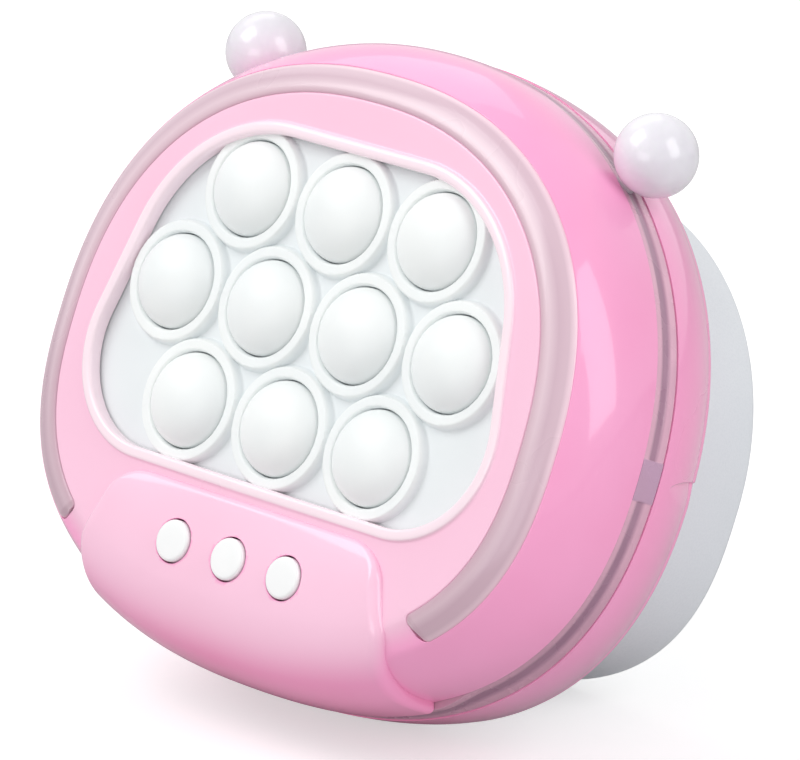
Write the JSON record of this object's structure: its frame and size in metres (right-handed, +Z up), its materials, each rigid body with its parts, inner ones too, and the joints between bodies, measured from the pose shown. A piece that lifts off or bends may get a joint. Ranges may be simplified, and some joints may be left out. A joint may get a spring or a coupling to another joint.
{
  "type": "electronic bubble pop game",
  "caption": "Rounded hand-held light-up bubble game with a silicone bubble pad, push buttons, two ball lamps, a light strip and a rear battery cover; it leans back on its own rear.",
  "frame": {"origin": "bottom centre of the whole object's bounding box, on the surface that it stands on", "axes": "+X to the viewer's right, across the bubbles; +Y towards the rear cover; +Z up; the game leans back about 24 degrees, as it stands in the picture"},
  "size_m": [0.1236, 0.0964, 0.1088],
  "materials": {
    "shell_pink": "glossy moulded plastic",
    "seam_ring": "smoky translucent plastic",
    "light_strip": "milky translucent plastic",
    "milky_lamp": "milky moulded plastic",
    "led": "clear lens",
    "silicone": "soft satin silicone",
    "white_plastic": "smooth white plastic",
    "cover_white": "satin white plastic",
    "circuit_board": "green solder mask",
    "screw_steel": "plated steel",
    "cell_jacket": "plain printed jacket",
    "contact_plate": "plated spring plate",
    "speaker_steel": "dark frame and magnet"
  },
  "bodies": {
    "case": {"front_shell": "shell_pink", "rear_shell": "shell_pink", "seam_light_ring": "seam_ring", "front_light_strip": "light_strip", "lamp_board_left": "circuit_board", "lamp_board_right": "circuit_board", "ear_lamp_left": "milky_lamp", "ear_lamp_right": "milky_lamp", "ear_led_left": "led", "ear_led_right": "led", "bubble_pad": "silicone", "key_deck": "white_plastic", "main_board": "circuit_board", "button_board": "circuit_board", "board_screw_1": "screw_steel", "board_screw_2": "screw_steel", "board_screw_3": "screw_steel", "board_screw_4": "screw_steel", "button_screw_1": "screw_steel", "button_screw_2": "screw_steel", "case_screw_1": "screw_steel", "case_screw_2": "screw_steel", "case_screw_3": "screw_steel", "case_screw_4": "screw_steel", "rear_cover": "cover_white", "battery_1": "cell_jacket", "battery_2": "cell_jacket", "battery_3": "cell_jacket", "contact_left_bridge": "contact_plate", "contact_left_end": "contact_plate", "contact_right_bridge": "contact_plate", "contact_right_end": "contact_plate", "speaker": "speaker_steel"},
    "bubble_key_01": {"bubble_01": "silicone", "plunger_01": "milky_lamp"},
    "bubble_key_02": {"bubble_02": "silicone", "plunger_02": "milky_lamp"},
    "bubble_key_03": {"bubble_03": "silicone", "plunger_03": "milky_lamp"},
    "bubble_key_04": {"bubble_04": "silicone", "plunger_04": "milky_lamp"},
    "bubble_key_05": {"bubble_05": "silicone", "plunger_05": "milky_lamp"},
    "bubble_key_06": {"bubble_06": "silicone", "plunger_06": "milky_lamp"},
    "bubble_key_07": {"bubble_07": "silicone", "plunger_07": "milky_lamp"},
    "bubble_key_08": {"bubble_08": "silicone", "plunger_08": "milky_lamp"},
    "bubble_key_09": {"bubble_09": "silicone", "plunger_09": "milky_lamp"},
    "bubble_key_10": {"bubble_10": "silicone", "plunger_10": "milky_lamp"},
    "mode_key": {"mode_button": "white_plastic"},
    "power_key": {"power_button": "white_plastic"},
    "sound_key": {"sound_button": "white_plastic"},
    "door": {"battery_door": "cover_white", "door_screw": "screw_steel"}
  },
  "joints": [
    {"name": "bubble_01_press", "type": "slide", "parent": "case", "child": "bubble_key_01", "axis": [0, 0.9124, -0.4092], "range_m": [0, 0.004], "stiffness_N_per_m": 500},
    {"name": "bubble_02_press", "type": "slide", "parent": "case", "child": "bubble_key_02", "axis": [0, 0.9124, -0.4092], "range_m": [0, 0.004], "stiffness_N_per_m": 500},
    {"name": "bubble_03_press", "type": "slide", "parent": "case", "child": "bubble_key_03", "axis": [0, 0.9124, -0.4092], "range_m": [0, 0.004], "stiffness_N_per_m": 500},
    {"name": "bubble_04_press", "type": "slide", "parent": "case", "child": "bubble_key_04", "axis": [0, 0.9124, -0.4092], "range_m": [0, 0.004], "stiffness_N_per_m": 500},
    {"name": "bubble_05_press", "type": "slide", "parent": "case", "child": "bubble_key_05", "axis": [0, 0.9124, -0.4092], "range_m": [0, 0.004], "stiffness_N_per_m": 500},
    {"name": "bubble_06_press", "type": "slide", "parent": "case", "child": "bubble_key_06", "axis": [0, 0.9124, -0.4092], "range_m": [0, 0.004], "stiffness_N_per_m": 500},
    {"name": "bubble_07_press", "type": "slide", "parent": "case", "child": "bubble_key_07", "axis": [0, 0.9124, -0.4092], "range_m": [0, 0.004], "stiffness_N_per_m": 500},
    {"name": "bubble_08_press", "type": "slide", "parent": "case", "child": "bubble_key_08", "axis": [0, 0.9124, -0.4092], "range_m": [0, 0.004], "stiffness_N_per_m": 500},
    {"name": "bubble_09_press", "type": "slide", "parent": "case", "child": "bubble_key_09", "axis": [0, 0.9124, -0.4092], "range_m": [0, 0.004], "stiffness_N_per_m": 500},
    {"name": "bubble_10_press", "type": "slide", "parent": "case", "child": "bubble_key_10", "axis": [0, 0.9124, -0.4092], "range_m": [0, 0.004], "stiffness_N_per_m": 500},
    {"name": "mode_press", "type": "slide", "parent": "case", "child": "mode_key", "axis": [0, 0.9124, -0.4092], "range_m": [0, 0.0012], "stiffness_N_per_m": 1200},
    {"name": "power_press", "type": "slide", "parent": "case", "child": "power_key", "axis": [0, 0.9124, -0.4092], "range_m": [0, 0.0012], "stiffness_N_per_m": 1200},
    {"name": "sound_press", "type": "slide", "parent": "case", "child": "sound_key", "axis": [0, 0.9124, -0.4092], "range_m": [0, 0.0012], "stiffness_N_per_m": 1200},
    {"name": "door_hinge", "type": "hinge", "parent": "case", "child": "door", "pos_m": [0, 0.01705, 0.00674], "axis": [-1, 0, 0], "range_deg": [0, 65]}
  ]
}
